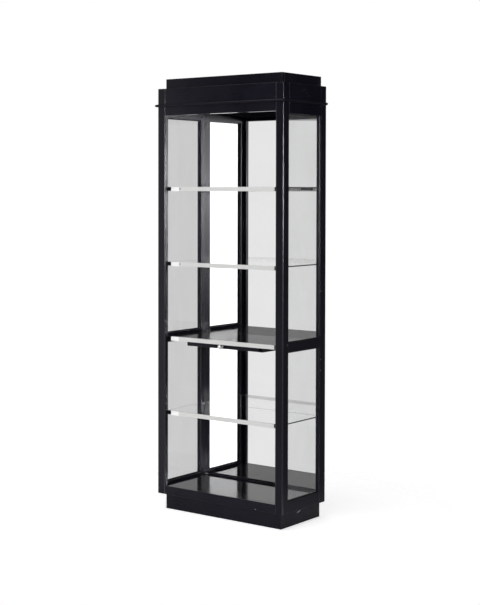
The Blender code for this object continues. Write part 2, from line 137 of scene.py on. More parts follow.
BACKDROP = 1.0           # what the camera sees past the object
BEHIND_GLASS = 0.71      # the studio as it looks through a pane
IN_MIRROR = 0.34         # the studio before the object as it looks in a mirror, without the lamps
IN_PANES = 0.02          # the studio behind the object as it looks in a pane
STUDIO_LOW = 0.20        # the studio's own glow from below
STUDIO_HIGH = 0.05       # the studio's own glow from above
FLOOR_FADE = 0.55        # the floor starts to melt away at this distance
FLOOR_END = 1.20
FLOOR_GLOW = 0.60        # seen directly
FLOOR_GLOW_INDIRECT = 0.25
HORIZON_BLEND = (-0.15, 0.05)     # the direction's Z over which STUDIO_LOW turns into STUDIO_HIGH
SIDE_BLEND = (-0.1, 0.1)    # the direction's Y over which the studio's front turns into its back
COOL_WHITE = (0.96, 0.96, 1.0)
BOUNCES = 24
GLOSSY_BOUNCES = 12


# ---------------------------------------------------------------------------- shader graph helpers
def node(tree, kind, inputs=None, **settings):
    """Add a shader node.  inputs maps socket names or indexes to values or to other sockets."""
    made = tree.nodes.new(f"ShaderNode{kind}")
    for name, value in settings.items():
        setattr(made, name, value)
    for key, value in (inputs or {}).items():
        if isinstance(value, bpy.types.NodeSocket):
            tree.links.new(value, made.inputs[key])
        else:
            made.inputs[key].default_value = value
    return made


def new_material(name, **values):
    """A material and its Principled shader, with plain values set on the shader's own sockets."""
    material = bpy.data.materials.new(name)
    material.use_nodes = True
    tree = material.node_tree
    shader = tree.nodes["Principled BSDF"]
    for key, value in values.items():
        shader.inputs[key.replace("_", " ")].default_value = value
    return material, tree, shader


def stretched(tree, scale):
    """World places scaled by three factors, for noise that is longer one way."""
    place = node(tree, "TexCoord").outputs["Object"]
    return node(tree, "Mapping", {"Vector": place, "Scale": scale}).outputs["Vector"]


def noise(tree, scale, detail=3.0, roughness=0.5):
    """Noise between 0 and 1; scale is in cycles a metre, one number or one for each axis."""
    factors = scale if isinstance(scale, tuple) else (scale, scale, scale)
    made = node(
        tree,
        "TexNoise",
        {"Vector": stretched(tree, factors), "Scale": 1.0, "Detail": detail, "Roughness": roughness},
    )
    return made.outputs["Fac"]


def remap(tree, value, low, high, to_low, to_high):
    """Carry a value from one range to another, clamped."""
    made = node(
        tree,
        "MapRange",
        {"Value": value, "From Min": low, "From Max": high, "To Min": to_low, "To Max": to_high},
    )
    return made.outputs["Result"]


def calculate(tree, operation, first, second):
    return node(tree, "Math", {0: first, 1: second}, operation=operation).outputs[0]


def as_colour(value):
    """A colour socket as it is, or an (r, g, b) tuple with an alpha of 1."""
    return value if isinstance(value, bpy.types.NodeSocket) else (*value, 1.0)


def blend(tree, factor, first, second):
    """Mix two colours; each is an (r, g, b) tuple or a colour socket."""
    inputs = {0: factor, 6: as_colour(first), 7: as_colour(second)}
    return node(tree, "Mix", inputs, data_type="RGBA").outputs[2]


def raise_surface(tree, shader, height, depth):
    """Feed a height between 0 and 1 to the shader's normal; depth is its relief in metres."""
    bump = node(tree, "Bump", {"Height": height, "Distance": depth, "Strength": 1.0})
    tree.links.new(bump.outputs["Normal"], shader.inputs["Normal"])


def feed(tree, shader, **sockets):
    """Connect sockets to the shader's inputs; an underscore stands for a space."""
    for key, socket in sockets.items():
        tree.links.new(socket, shader.inputs[key.replace("_", " ")])


def upward(tree):
    """1 on faces that look up, 0 elsewhere."""
    normal = node(tree, "NewGeometry").outputs["Normal"]
    height = node(tree, "SeparateXYZ", {0: normal}).outputs["Z"]
    return remap(tree, height, 0.6, 0.95, 0.0, 1.0)


# ---------------------------------------------------------------------------- materials
def black_lacquer(axis):
    """Hand-worn black lacquer over wood whose grain runs along the given axis."""
    material, tree, shader = new_material(f"black_lacquer_{axis}", IOR=1.45, Specular_IOR_Level=0.14)
    grain_scale = tuple(14.0 if letter == axis else 520.0 for letter in "xyz")
    grain = noise(tree, grain_scale, 4.0, 0.6)
    peel = noise(tree, 420.0, 2.0)
    cloud = noise(tree, 5.0, 4.0, 0.6)
    patches = remap(tree, noise(tree, 60.0, 5.0, 0.7), 0.45, 0.75, 0.1, 1.0)
    dust = calculate(tree, "MULTIPLY", upward(tree), patches)
    clouded = remap(tree, cloud, 0.35, 0.65, 0.0, 1.0)
    lacquer = blend(tree, clouded, (0.0034, 0.0032, 0.0072), (0.0056, 0.0053, 0.0102))
    thin_dust = calculate(tree, "MULTIPLY", dust, 0.25)
    colour = blend(tree, thin_dust, lacquer, (0.060, 0.058, 0.055))
    rough_by_cloud = remap(tree, cloud, 0.3, 0.7, 0.26, 0.33)
    rough_by_grain = remap(tree, grain, 0.3, 0.7, -0.02, 0.04)
    rough_by_dust = calculate(tree, "MULTIPLY", dust, 0.15)
    bare_rough = calculate(tree, "ADD", rough_by_cloud, rough_by_grain)
    rough = calculate(tree, "ADD", bare_rough, rough_by_dust)
    feed(tree, shader, Base_Color=colour, Roughness=rough)
    raised_grain = calculate(tree, "MULTIPLY", grain, 0.6)
    raised_peel = calculate(tree, "MULTIPLY", peel, 0.4)
    raise_surface(tree, shader, calculate(tree, "ADD", raised_grain, raised_peel), 0.00003)
    return material


def worn_edge():
    """The rounded edge of a lacquered board, rubbed thin in places down to the dark wood."""
    material, tree, shader = new_material("black_lacquer_worn_edge", IOR=1.45, Specular_IOR_Level=0.22)
    rub = remap(tree, noise(tree, 38.0, 6.0, 0.75), 0.56, 0.68, 0.0, 1.0)
    nick = remap(tree, noise(tree, 260.0, 3.0, 0.6), 0.60, 0.68, 0.0, 1.0)
    faint_rub = calculate(tree, "MULTIPLY", rub, 0.7)
    faint_nick = calculate(tree, "MULTIPLY", nick, 0.5)
    worn = calculate(tree, "MAXIMUM", faint_rub, faint_nick)
    colour = blend(tree, worn, (0.011, 0.011, 0.014), (0.060, 0.050, 0.042))
    feed(tree, shader, Base_Color=colour, Roughness=remap(tree, worn, 0.0, 1.0, 0.30, 0.55))
    raise_surface(tree, shader, noise(tree, 300.0, 3.0), 0.00008)
    return material


def rounded_lacquer():
    """The posts' rounded corners: lacquer worn smooth and glossy by hands."""
    material, tree, shader = new_material("black_lacquer_rounded", IOR=1.5, Specular_IOR_Level=0.7)
    rub = remap(tree, noise(tree, 60.0, 5.0, 0.7), 0.60, 0.72, 0.0, 1.0)
    colour = blend(tree, rub, (0.0045, 0.0042, 0.0085), (0.050, 0.042, 0.038))
    feed(tree, shader, Base_Color=colour, Roughness=remap(tree, rub, 0.0, 1.0, 0.18, 0.40))
    raise_surface(tree, shader, noise(tree, 180.0, 3.0), 0.00001)
    return material


def dull_lacquer():
    """Lacquer that has lost its gloss: on rails beside the panes and on the ceiling."""
    material, tree, shader = new_material("dull_lacquer", IOR=1.45, Specular_IOR_Level=0.0)
    wiped = noise(tree, 30.0, 5.0, 0.7)
    clouded = remap(tree, wiped, 0.4, 0.7, 0.0, 1.0)
    colour = blend(tree, clouded, (0.0050, 0.0048, 0.0080), (0.012, 0.012, 0.015))
    feed(tree, shader, Base_Color=colour, Roughness=remap(tree, wiped, 0.3, 0.7, 0.55, 0.75))
    raise_surface(tree, shader, noise(tree, 300.0, 3.0), 0.00004)
    return material


def polished_black(name, level, smoothest):
    """Polished black board with wiped-in haze, hairline scratches and a little dust."""
    material, tree, shader = new_material(name, IOR=1.5, Specular_IOR_Level=level)
    haze = noise(tree, (7.0, 16.0, 7.0), 4.0, 0.6)
    scratch = remap(tree, noise(tree, (900.0, 16.0, 16.0), 2.0), 0.66, 0.70, 0.0, 1.0)
    speck = remap(tree, noise(tree, 420.0, 2.0), 0.70, 0.76, 0.0, 1.0)
    dust = calculate(tree, "MULTIPLY", upward(tree), speck)
    colour = blend(tree, dust, (0.0070, 0.0070, 0.0085), (0.110, 0.105, 0.100))
    rough_by_haze = remap(tree, haze, 0.3, 0.7, smoothest, smoothest + 0.08)
    rough_by_scratch = calculate(tree, "MULTIPLY", scratch, 0.10)
    rough = calculate(tree, "ADD", rough_by_haze, rough_by_scratch)
    feed(tree, shader, Base_Color=colour, Roughness=rough)
    raise_surface(tree, shader, noise(tree, 24.0, 3.0), 0.00001)
    return material


def through_shadow(material, tree, shader, tint):
    """Let lamps light what stands behind this glass."""
    clear = node(tree, "BsdfTransparent", {"Color": (*tint, 1.0)})
    shadow = node(tree, "LightPath").outputs["Is Shadow Ray"]
    mix = node(tree, "MixShader", {0: shadow, 1: shader.outputs["BSDF"], 2: clear.outputs["BSDF"]})
    output = tree.nodes["Material Output"]
    tree.links.new(mix.outputs["Shader"], output.inputs["Surface"])
    return material


def glass(name, tint):
    """Old float glass: faintly uneven, with wiped smears in its surface."""
    material, tree, shader = new_material(name, IOR=1.5, Transmission_Weight=1.0, Roughness=0.0)
    smear = noise(tree, (9.0, 9.0, 3.0), 5.0, 0.65)
    deep = tuple(channel * 0.96 for channel in tint)
    feed(tree, shader, Base_Color=blend(tree, remap(tree, smear, 0.4, 0.7, 0.0, 1.0), tint, deep))
    raise_surface(tree, shader, noise(tree, 4.0, 1.0), 0.00002)
    return through_shadow(material, tree, shader, tint)


def glass_edge():
    """A shelf's ground edge: green-black from outside, clear from inside the glass."""
    material, tree, shader = new_material("glass_edge", IOR=1.5, Specular_IOR_Level=0.2, Roughness=0.08)
    inside = node(tree, "NewGeometry").outputs["Backfacing"]
    chips = remap(tree, noise(tree, 400.0, 3.0), 0.62, 0.72, 0.0, 1.0)
    ground = blend(tree, chips, (0.004, 0.007, 0.006), (0.060, 0.080, 0.072))
    colour = blend(tree, inside, ground, (0.96, 0.97, 0.965))
    feed(tree, shader, Base_Color=colour, Transmission_Weight=inside)
    raise_surface(tree, shader, noise(tree, 90.0, 2.0), 0.00002)
    return material


def silvering():
    """Mirror silver seen through clear glass, with faint clouding."""
    material, tree, shader = new_material("mirror_silver", Metallic=1.0, Roughness=0.0)
    cloud = remap(tree, noise(tree, 6.0, 5.0, 0.6), 0.45, 0.75, 0.0, 1.0)
    feed(tree, shader, Base_Color=blend(tree, cloud, (0.860, 0.864, 0.860), (0.835, 0.840, 0.836)))
    return material


def ivory(name, clean, grimy):
    """Ivory edge strip with handling marks and a faint extrusion grain along X."""
    material, tree, shader = new_material(name, IOR=1.46)
    grime = remap(tree, noise(tree, (40.0, 200.0, 200.0), 5.0, 0.7), 0.5, 0.8, 0.0, 1.0)
    colour = blend(tree, grime, clean, grimy)
    feed(tree, shader, Base_Color=colour, Roughness=remap(tree, grime, 0.0, 1.0, 0.26, 0.46))
    raise_surface(tree, shader, noise(tree, (6.0, 700.0, 700.0), 2.0), 0.00004)
    return material


def satin_nickel():
    """Worn satin nickel with fine turning marks."""
    material, tree, shader = new_material("satin_nickel", Metallic=1.0)
    tarnish = noise(tree, 260.0, 4.0, 0.6)
    dulled = remap(tree, tarnish, 0.4, 0.7, 0.0, 1.0)
    colour = blend(tree, dulled, (0.930, 0.925, 0.905), (0.800, 0.785, 0.750))
    feed(tree, shader, Base_Color=colour, Roughness=remap(tree, tarnish, 0.3, 0.7, 0.24, 0.40))
    raise_surface(tree, shader, noise(tree, (900.0, 9000.0, 900.0), 2.0), 0.00002)
    return material


def painted_hardboard():
    """Dull dark board on the back: felted fibre, roller marks and scuffs."""
    material, tree, shader = new_material("painted_hardboard", IOR=1.45, Specular_IOR_Level=0.3)
    fibre = noise(tree, 900.0, 4.0, 0.7)
    roller = noise(tree, (26.0, 26.0, 3.0), 4.0, 0.6)
    scuff = remap(tree, noise(tree, (30.0, 30.0, 8.0), 7.0, 0.8), 0.62, 0.74, 0.0, 0.6)
    streaks = remap(tree, roller, 0.3, 0.7, 0.0, 1.0)
    base = blend(tree, streaks, (0.018, 0.016, 0.015), (0.034, 0.030, 0.027))
    feed(tree, shader, Base_Color=blend(tree, scuff, base, (0.085, 0.070, 0.056)))
    feed(tree, shader, Roughness=remap(tree, roller, 0.3, 0.7, 0.55, 0.75))
    raise_surface(tree, shader, fibre, 0.00015)
    return material


def painted_putty():
    """Black paint over glazing putty, brushed along the pane and crazed by age."""
    material, tree, shader = new_material("painted_putty", IOR=1.45, Specular_IOR_Level=0.45)
    crazed = remap(tree, noise(tree, 220.0, 4.0, 0.7), 0.60, 0.70, 0.0, 1.0)
    feed(tree, shader, Base_Color=blend(tree, crazed, (0.006, 0.006, 0.009), (0.040, 0.036, 0.034)))
    feed(tree, shader, Roughness=remap(tree, crazed, 0.0, 1.0, 0.24, 0.50))
    raise_surface(tree, shader, noise(tree, 140.0, 3.0), 0.00006)
    return material


def scraped(name, fresh, stained):
    """Where the lacquer is scraped or rubbed off: dull, fibrous and stained."""
    material, tree, shader = new_material(name, IOR=1.45, Specular_IOR_Level=0.2)
    fibre = noise(tree, (700.0, 90.0, 700.0), 4.0, 0.7)
    feed(tree, shader, Base_Color=blend(tree, remap(tree, fibre, 0.35, 0.65, 0.0, 1.0), fresh, stained))
    feed(tree, shader, Roughness=remap(tree, fibre, 0.3, 0.7, 0.5, 0.7))
    raise_surface(tree, shader, fibre, 0.00006)
    return material


def black_rubber():
    """Matt black rubber of the shelf clips, dusty in its pores."""
    material, tree, shader = new_material("black_rubber", IOR=1.45, Specular_IOR_Level=0.2)
    pores = remap(tree, noise(tree, 900.0, 3.0), 0.5, 0.7, 0.0, 1.0)
    feed(tree, shader, Base_Color=blend(tree, pores, (0.003, 0.003, 0.004), (0.020, 0.019, 0.018)))
    feed(tree, shader, Roughness=remap(tree, pores, 0.0, 1.0, 0.5, 0.7))
    raise_surface(tree, shader, pores, 0.00004)
    return material


def blackened_steel():
    """Blackened steel of the back panel's tacks, rusty in places."""
    material, tree, shader = new_material("blackened_steel", Metallic=1.0)
    rust = remap(tree, noise(tree, 500.0, 4.0, 0.7), 0.5, 0.7, 0.0, 1.0)
    feed(tree, shader, Base_Color=blend(tree, rust, (0.20, 0.20, 0.21), (0.14, 0.085, 0.055)))
    feed(tree, shader, Roughness=remap(tree, rust, 0.0, 1.0, 0.30, 0.65))
    raise_surface(tree, shader, noise(tree, 1200.0, 3.0), 0.00005)
    return material


LACQUER = {axis: black_lacquer(axis) for axis in "xyz"}
WORN_EDGE = worn_edge()
ROUNDED = rounded_lacquer()
POLISHED_FLOOR = polished_black("polished_black_floor", 0.20, 0.07)
POLISHED_SHELF = polished_black("polished_black_shelf", 0.012, 0.08)
POLISHED_UNDERSIDE = polished_black("polished_black_underside", 0.5, 0.02)
DULL_LACQUER = dull_lacquer()
PANEL_FACE = {
    "floor_panel": POLISHED_FLOOR,
    "shelf_middle": POLISHED_SHELF,
    "ceiling_panel": DULL_LACQUER,
}
SIDE_GLASS = glass("side_pane_glass", (0.898, 0.900, 0.906))
SHELF_GLASS = glass("shelf_glass", (0.955, 0.960, 0.955))
GLASS_EDGE = glass_edge()
SILVER = silvering()
STRIP = ivory("ivory_strip", (0.645, 0.642, 0.625), (0.570, 0.562, 0.530))
STRIP_CAP = ivory("ivory_strip_cap", (0.930, 0.930, 0.920), (0.850, 0.845, 0.820))
PAINTED_PUTTY = painted_putty()
NICKEL = satin_nickel()
HARDBOARD = painted_hardboard()
RUBBER = black_rubber()
# painted highlight: this light bare-wood colour also stands for the glint on the rear bottom rail's top
# edge
BARE_WOOD_AND_GLINT = scraped("bare_wood_and_glint", (0.420, 0.410, 0.390), (0.200, 0.185, 0.165))
RUBBED = scraped("rubbed_lacquer", (0.070, 0.069, 0.074), (0.024, 0.024, 0.030))
STEEL = blackened_steel()


# ---------------------------------------------------------------------------- piece helpers
def link(piece, materials):
    bpy.context.scene.collection.objects.link(piece)
    for material in materials:
        piece.data.materials.append(material)
    return piece


def clean_copy(name):
    """The CAD node's mesh with its seams welded, its flat faces whole again and no stored normals."""
    mesh = frame["nodes"][name].data.copy()
    mesh.name = name
    mesh.materials.clear()
    if "custom_normal" in mesh.attributes:
        mesh.attributes.remove(mesh.attributes["custom_normal"])
    bm = bmesh.new()
    bm.from_mesh(mesh)
    bmesh.ops.remove_doubles(bm, verts=bm.verts, dist=MERGE)
    bmesh.ops.dissolve_limit(bm, angle_limit=FLAT_ANGLE, verts=bm.verts, edges=bm.edges)
    bm.to_mesh(mesh)
    bm.free()
    return mesh


def stand_for(piece, *nodes):
    """Piece rides with its CAD nodes and hides them."""
    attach(piece, BODY_OF[nodes[0]])
    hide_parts(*nodes)
    return piece


def round_edges(piece, width, edge_material=0):
    bevel = piece.modifiers.new("rounded_edges", "BEVEL")
    bevel.width = width
    bevel.segments = BEVEL_SEGMENTS
    bevel.limit_method = "ANGLE"
    bevel.angle_limit = SHARP_ANGLE
    bevel.harden_normals = True
    bevel.material = edge_material


def finished(name, width, materials):
    """A copy of a CAD node with rounded edges; a second material goes on the edges."""
    mesh = clean_copy(name)
    mesh.shade_smooth()
    piece = link(bpy.data.objects.new(f"{name}_finished", mesh), materials)
    round_edges(piece, width, len(materials) - 1)
    return stand_for(piece, name)


def long_axis(name):
    low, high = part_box(name)
    spans = high - low
    return "xyz"[max(range(3), key=lambda index: spans[index])]


# ---------------------------------------------------------------------------- wooden boards
def board(name):
    """A lacquered board; some rails are polished or dull on the faces that look up, in or down."""
    materials = [LACQUER[long_axis(name)], POLISHED_FLOOR, DULL_LACQUER, POLISHED_UNDERSIDE, WORN_EDGE]
    piece = finished(name, BOARD_BEVEL, materials)
    inwards = 1 if name.endswith("_left") else -1
    for face in piece.data.polygons:
        looks_up = face.normal.z > FACING
        looks_in = face.normal.x * inwards > FACING
        looks_down = face.normal.z < -FACING
        if name in RAILS_WITH_POLISHED_TOPS and looks_up:
            face.material_index = materials.index(POLISHED_FLOOR)
        elif name in RAILS_WITH_DULL_TOPS and (looks_up or looks_in):
            face.material_index = materials.index(DULL_LACQUER)
        elif name.startswith("head_rail") and looks_down:
            face.material_index = materials.index(POLISHED_UNDERSIDE)


def post(name):
    """A post: its four outer corners are rounded wide, its rebates and grooves finely."""
    piece = finished(name, POST_BEVEL, [LACQUER["z"], ROUNDED])
    piece.modifiers["rounded_edges"].limit_method = "WEIGHT"
    low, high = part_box(name)
    mesh = piece.data
    weights = mesh.attributes.new("bevel_weight_edge", "FLOAT", "EDGE")
    for edge in mesh.edges:
        start, end = (mesh.vertices[index].co for index in edge.vertices)
        middle = (start + end) / 2
        upright = abs(end.z - start.z) > (high.z - low.z) * 0.5
        at_side = min(abs(middle.x - low.x), abs(middle.x - high.x)) < MERGE
        at_face = min(abs(middle.y - low.y), abs(middle.y - high.y)) < MERGE
        weights.data[edge.index].value = 1.0 if upright and at_side and at_face else FINE_SHARE


def boards():
    for name, slot in SLOT_OF.items():
        if slot == "black_paint" and not name.startswith("bead_"):
            if name.startswith("post_"):
                post(name)
            else:
                board(name)
        if slot == "black_gloss":
            finished(name, BOARD_BEVEL, [PANEL_FACE[name], WORN_EDGE])


def half_round(points=25):
    """Half-round bead outline as (share of how far out, share of half height)."""
    for index in range(points):
        angle = math.pi * (index / (points - 1) - 0.5)
        yield math.cos(angle), math.sin(angle)


def bead(name, end_places):
    """Loft the half-round between two ends; each end maps (out, up) to a place."""
    bm = bmesh.new()
    rings = [[bm.verts.new(place(out, up)) for out, up in half_round()] for place in end_places]
    count = len(rings[0])
    edges = [bm.edges.new((ring[i], ring[(i + 1) % count])) for ring in rings for i in range(count)]
    bmesh.ops.bridge_loops(bm, edges=edges)
    for ring in rings:
        bm.faces.new(ring)
    bmesh.ops.recalc_face_normals(bm, faces=bm.faces)
    mesh = bpy.data.meshes.new(f"{name}_moulding")
    bm.to_mesh(mesh)
    bm.free()
    mesh.shade_smooth()
    mesh.set_sharp_from_angle(angle=SHARP_ANGLE)
    axis = "x" if name == "bead_front" else "y"
    piece = link(bpy.data.objects.new(f"{name}_moulding", mesh), [LACQUER[axis]])
    return stand_for(piece, name)


def beads():
    """The front bead's ends and the side beads' front ends are mitred."""
    low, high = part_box("bead_front")
    middle = (low.z + high.z) / 2
    half = (high.z - low.z) / 2
    out = high.y - low.y
    ends = [
        lambda o, u, x=x, sign=sign: (x + sign * out * (o - 1), high.y - out * o, middle + half * u)
        for x, sign in ((low.x, -1), (high.x, 1))
    ]
    bead("bead_front", ends)
    for name, sign in (("bead_left", -1), ("bead_right", 1)):
        side_low, side_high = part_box(name)
        flat = side_high.x - out if sign > 0 else side_low.x + out
        ends = [
            lambda o, u: (flat + sign * out * o, side_low.y + out * (1 - o), middle + half * u),
            lambda o, u: (flat + sign * out * o, side_high.y, middle + half * u),
        ]
        bead(name, ends)


# ---------------------------------------------------------------------------- glass and mirror
def keep_with(name, material):
    """The CAD node stays as it is and gets a better material."""
    mesh = frame["nodes"][name].data
    mesh.materials.clear()
    mesh.materials.append(material)


def glazing():
    for name, slot in SLOT_OF.items():
        if slot == "clear_glass" and name.startswith("side_glass"):
            keep_with(name, SIDE_GLASS)
            putty_ring(name)
        if slot == "clear_glass" and name.startswith("shelf_glass"):
            shelf = finished(name, GLASS_BEVEL, [SHELF_GLASS, GLASS_EDGE])
            for face in shelf.data.polygons:
                face.material_index = 0 if abs(face.normal.z) > FACING else 1
    keep_with("mirror", SILVER)
    finished("back_panel", THIN_BEVEL, [HARDBOARD])


def putty_ring(name):
    """A quarter-round fillet in the corner between a side pane's outer face and its frame."""
    low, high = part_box(name)
    side = 1 if low.x > 0 else -1
    face_x = high.x if side > 0 else low.x
    inset = GROOVE_DEPTH
    corners = [
        (low.y + inset, low.z + inset, 1, 1),
        (high.y - inset, low.z + inset, -1, 1),
        (high.y - inset, high.z - inset, -1, -1),
        (low.y + inset, high.z - inset, 1, -1),
    ]
    bm = bmesh.new()
    rings = []
    for y, z, in_y, in_z in corners:
        ring = [bm.verts.new((face_x, y, z))]
        for index in range(PUTTY_STEPS + 1):
            angle = math.pi / 2 * index / PUTTY_STEPS
            out = PUTTY * (1 - math.sin(angle))
            along = PUTTY * (1 - math.cos(angle))
            ring.append(bm.verts.new((face_x + side * out, y + in_y * along, z + in_z * along)))
        rings.append(ring)
    count = len(rings[0])
    for corner in range(4):
        here = rings[corner]
        there = rings[(corner + 1) % 4]
        for i in range(count):
            j = (i + 1) % count
            bm.faces.new((here[i], here[j], there[j], there[i]))
    bmesh.ops.recalc_face_normals(bm, faces=bm.faces)
    mesh = bpy.data.meshes.new(f"putty_{name}")
    bm.to_mesh(mesh)
    bm.free()
    mesh.shade_smooth()
    mesh.set_sharp_from_angle(angle=SHARP_ANGLE)
    piece = link(bpy.data.objects.new(f"putty_{name}", mesh), [PAINTED_PUTTY])
    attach(piece, BODY_OF[name])


# ---------------------------------------------------------------------------- turned pieces
def domed_head(radius, height):
    """Profile of a nail head or plug: a low dome on a short sunk rim."""
    dome = []
    for step in range(DOME_STEPS + 1):
        angle = math.pi / 2 * step / DOME_STEPS
        dome.append((radius * math.sin(angle), height * math.cos(angle)))
    return dome + [(radius, -HEAD_SUNK), (0.0, -HEAD_SUNK)]


def turned(name, profile, segments, material):
    """A (radius, height) profile turned about Z."""
    places = [(out, 0, up) for out, up in profile]
    mesh = bpy.data.meshes.new(name)
    mesh.from_pydata(places, [(index, index + 1) for index in range(len(places) - 1)], [])
    piece = link(bpy.data.objects.new(name, mesh), [material])
    screw = piece.modifiers.new("turn", "SCREW")
    screw.steps = segments
    screw.render_steps = segments
    screw.use_merge_vertices = True
    screw.merge_threshold = MERGE
    return piece


# ---------------------------------------------------------------------------- strips, pins and knob
def edge_strip(name):
    """The white strip; the cap at its left end is whiter."""
    piece = finished(name, THIN_BEVEL, [STRIP, STRIP_CAP])
    piece.modifiers["rounded_edges"].material = -1
    low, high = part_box(name)
    cap_end = low.x + CAP_LENGTH
    for face in piece.data.polygons:
        face.material_index = 1 if face.center.x < cap_end else 0


def shelf_clips():
    """Two black clips under the top shelf's right edge, one behind the other."""
    low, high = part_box("shelf_glass_top")
    front = low.y + CLIP_FROM_FRONT
    for end, start_share, length_share in CLIPS:
        length = CLIP_RUN * length_share
        bm = bmesh.new()
        bmesh.ops.create_cube(bm, size=1.0)
        bmesh.ops.scale(bm, verts=bm.verts, vec=(CLIP_WIDTH, length, CLIP_HEIGHT))
        lower = [vertex for vertex in bm.verts if vertex.co.z < 0]
        bmesh.ops.scale(bm, verts=lower, vec=CLIP_TAPER)
        mesh = bpy.data.meshes.new(f"shelf_clip_{end}")
        bm.to_mesh(mesh)
        bm.free()
        clip = link(bpy.data.objects.new(f"shelf_clip_{end}", mesh), [RUBBER])
        middle = front + CLIP_RUN * start_share + length / 2
        clip.location = (high.x - CLIP_WIDTH / 2 - MERGE, middle, low.z - CLIP_HEIGHT / 2)
        round_edges(clip, CLIP_HEIGHT * CLIP_BEVEL_SHARE)
        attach(clip, BODY_OF["shelf_glass_top"])


def strip_plug(name):
    """A small dark plug in the strip, just past its cap."""
    low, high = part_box(name)
    height = (low.z + high.z) / 2 + PLUG_ABOVE_MIDDLE
    plug = turned(f"{name}_plug", domed_head(PLUG_RADIUS, PLUG_HEIGHT), PLUG_SEGMENTS, RUBBER)
    plug.location = (low.x + CAP_LENGTH + PLUG_RADIUS, low.y + CAP_PROUD, height)
    plug.rotation_euler = (math.pi / 2, 0, 0)
    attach(plug, BODY_OF[name])


def strips_and_pins():
    shelf_clips()
    for name in ("edge_strip_top", "edge_strip_high"):
        strip_plug(name)
    for name, slot in SLOT_OF.items():
        if slot == "white_strip":
            edge_strip(name)
        if name.startswith("shelf_pin"):
            finished(name, PIN_BEVEL, [NICKEL])


def knob():
    """Ball knob on a waisted neck and a stepped foot, as long and wide as its CAD node."""
    low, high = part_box("slide_knob")
    radius = (high.x - low.x) / 2
    length = high.y - low.y
    neck = radius * 0.36
    centre = length - radius
    meets_neck = math.pi - math.asin(neck * 1.15 / radius)
    profile = [
        (radius * math.sin(meets_neck * i / 24), centre + radius * math.cos(meets_neck * i / 24))
        for i in range(25)
    ]
    foot_top = length * 0.11
    neck_low = foot_top + 0.0006
    neck_high = profile[-1][1]
    waist = [
        (neck * (1.15 - 0.15 * math.sin(math.pi * i / 8)), neck_high + (neck_low - neck_high) * i / 8)
        for i in range(1, 9)
    ]
    foot = [
        (radius * 0.55, neck_low - 0.0003),
        (radius * 0.66, foot_top - 0.0004),
        (radius * 0.68, foot_top - 0.0009),
        (radius * 0.68, 0.0),
        (0.0, 0.0),
    ]
    piece = turned("slide_knob_turned", profile + waist + foot, 64, NICKEL)
    piece.location = ((low.x + high.x) / 2, high.y, (low.z + high.z) / 2)
    piece.rotation_euler = (math.pi / 2, 0, 0)
    return stand_for(piece, "slide_knob")


# ---------------------------------------------------------------------------- nails and marks
def heads(name, body, places, radius, material, turn):
    """One piece of many equal nail heads; turn carries +Z to the way they face."""
    profile = domed_head(radius, radius * DOME_SHARE)
    angles = [math.tau * index / HEAD_SEGMENTS for index in range(HEAD_SEGMENTS)]
    bm = bmesh.new()
    for place in places:
        centre = bm.verts.new((0, 0, profile[0][1]))
        rings = [
            [bm.verts.new((out * math.cos(angle), out * math.sin(angle), up)) for angle in angles]
            for out, up in profile[1:-1]
        ]
        for index in range(HEAD_SEGMENTS):
            after = (index + 1) % HEAD_SEGMENTS
            bm.faces.new((centre, rings[0][index], rings[0][after]))
            for inner, outer in zip(rings, rings[1:]):
                bm.faces.new((inner[index], outer[index], outer[after], inner[after]))
        bm.faces.new(list(reversed(rings[-1])))
        made = [centre] + [vertex for ring in rings for vertex in ring]
        bmesh.ops.rotate(bm, verts=made, matrix=turn)
        bmesh.ops.translate(bm, verts=made, vec=place)
    mesh = bpy.data.meshes.new(name)
    bm.to_mesh(mesh)
    bm.free()
    mesh.shade_smooth()
    piece = link(bpy.data.objects.new(name, mesh), [material])
    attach(piece, body)


def back_panel_nails():
    """Tacks around the back panel, evenly spaced along its four edges."""
    low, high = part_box("back_panel")
    low = low + Vector((TACK_IN, 0, TACK_IN))
    high = high - Vector((TACK_IN, 0, TACK_IN))
    columns = round((high.x - low.x) / TACK_PITCH)
    rows = round((high.z - low.z) / TACK_PITCH)
    places = [
        (low.x + (high.x - low.x) * column / columns, high.y, low.z + (high.z - low.z) * row / rows)
        for column in range(columns + 1)
        for row in range(rows + 1)
        if row in (0, rows) or column in (0, columns)
    ]
    facing_back = Euler((-math.pi / 2, 0, 0)).to_matrix()
    heads("back_panel_tacks", BODY_OF["back_panel"], places, TACK_RADIUS, STEEL, facing_back)


def frame_nails():
    """Bright nail heads in the posts' outer sides, and one in the front bottom rail."""
    for side, sign in (("left", -1), ("right", 1)):
        places = []
        for post_name, share, height in NAILS_IN_POSTS:
            low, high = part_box(f"{post_name}_{side}")
            x = high.x if sign > 0 else low.x
            places.append((x, low.y + (high.y - low.y) * share, height))
        facing_out = Euler((0, sign * math.pi / 2, 0)).to_matrix()
        body = BODY_OF[f"post_front_{side}"]
        heads(f"post_nails_{side}", body, places, POST_NAIL_RADIUS, NICKEL, facing_out)
    rail_low, rail_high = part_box("bottom_rail_front")
    place = (rail_high.x * RAIL_NAIL_SHARE, rail_low.y, rail_low.z + RAIL_NAIL_UP)
    facing_front = Euler((math.pi / 2, 0, 0)).to_matrix()
    body = BODY_OF["bottom_rail_front"]
    heads("rail_nail", body, [place], RAIL_NAIL_RADIUS, NICKEL, facing_front)


